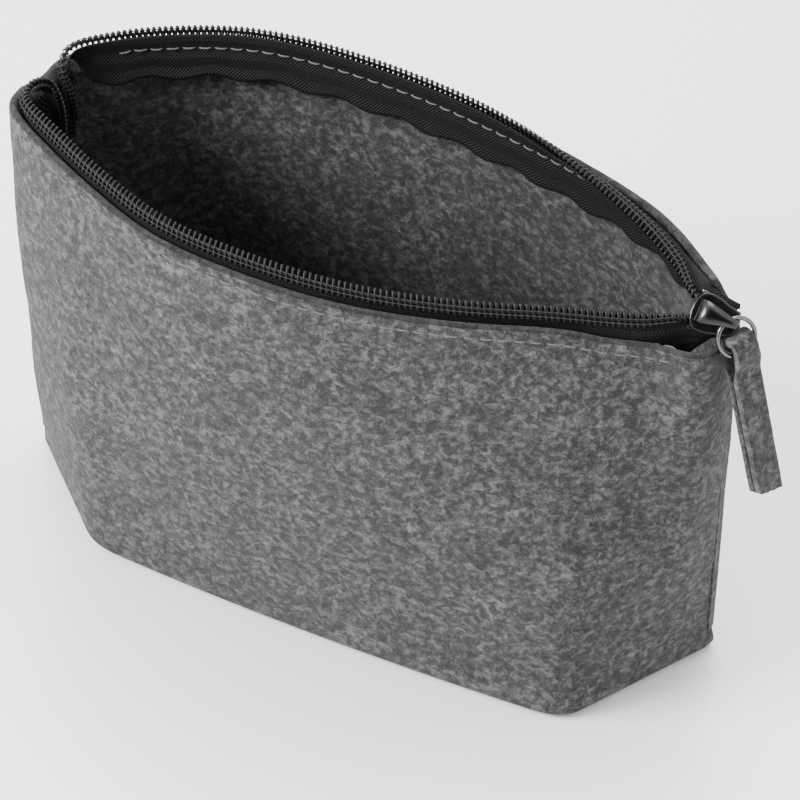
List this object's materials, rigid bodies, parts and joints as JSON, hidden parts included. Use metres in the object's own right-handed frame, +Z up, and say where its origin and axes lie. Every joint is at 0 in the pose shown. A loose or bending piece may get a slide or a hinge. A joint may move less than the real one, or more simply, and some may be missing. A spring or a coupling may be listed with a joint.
{
  "type": "soft pouch glasses case",
  "caption": "Grey felt zip pouch with a folded flat base, standing open, its zip slider at the right end with a ring and a felt pull tab",
  "frame": {"origin": "middle of the base's underside", "axes": "X along the mouth from the tucked zip ends to the slider, -Y to the front wall, +Z up"},
  "size_m": [0.2216, 0.088, 0.1413],
  "materials": {
    "grey_felt": "needled wool felt with mixed dark and light fibres, matte",
    "black_tape": "woven polyester herringbone tape",
    "black_nylon": "smooth nylon monofilament, slightly shiny",
    "filler_cord": "soft filler cord inside the coil",
    "black_thread": "twisted polyester sewing thread",
    "gun_metal": "dark plated zinc, satin with bright worn edges",
    "polished_wire": "dark plated steel wire, polished",
    "grey_thread": "grey polyester sewing thread"
  },
  "bodies": {
    "pouch": {"felt_body": "grey_felt", "front_zip_tape": "black_tape", "back_zip_tape": "black_tape", "front_coil": "black_nylon", "back_coil": "black_nylon", "front_coil_core": "filler_cord", "back_coil_core": "filler_cord", "front_coil_stitching": "black_thread", "back_coil_stitching": "black_thread", "front_topstitch_needle_thread": "grey_thread", "front_topstitch_bobbin_thread": "grey_thread", "back_topstitch_needle_thread": "grey_thread", "back_topstitch_bobbin_thread": "grey_thread", "left_seam_needle_thread": "grey_thread", "left_seam_bobbin_thread": "grey_thread", "right_seam_needle_thread": "grey_thread", "right_seam_bobbin_thread": "grey_thread"},
    "slider": {"slider_body": "gun_metal", "slider_bridge": "gun_metal"},
    "ring": {"pull_ring": "polished_wire"},
    "tab": {"pull_tab": "grey_felt"}
  },
  "joints": [
    {"name": "zip_slide", "type": "slide", "parent": "pouch", "child": "slider", "axis": [-0.9974, 0.0698, 0.016], "range_m": [0, 0.178], "deforming": ["felt_body"]},
    {"name": "ring_swing", "type": "hinge", "parent": "slider", "child": "ring", "pos_m": [0.09454, 0.00222, 0.13539], "axis": [0.5335, 0.796, 0.286], "range_deg": [-150, 0]},
    {"name": "tab_swing", "type": "hinge", "parent": "ring", "child": "tab", "pos_m": [0.0996, 0.00139, 0.12824], "axis": [0.4314, 0.9015, -0.033], "range_deg": [-8, 0]}
  ]
}
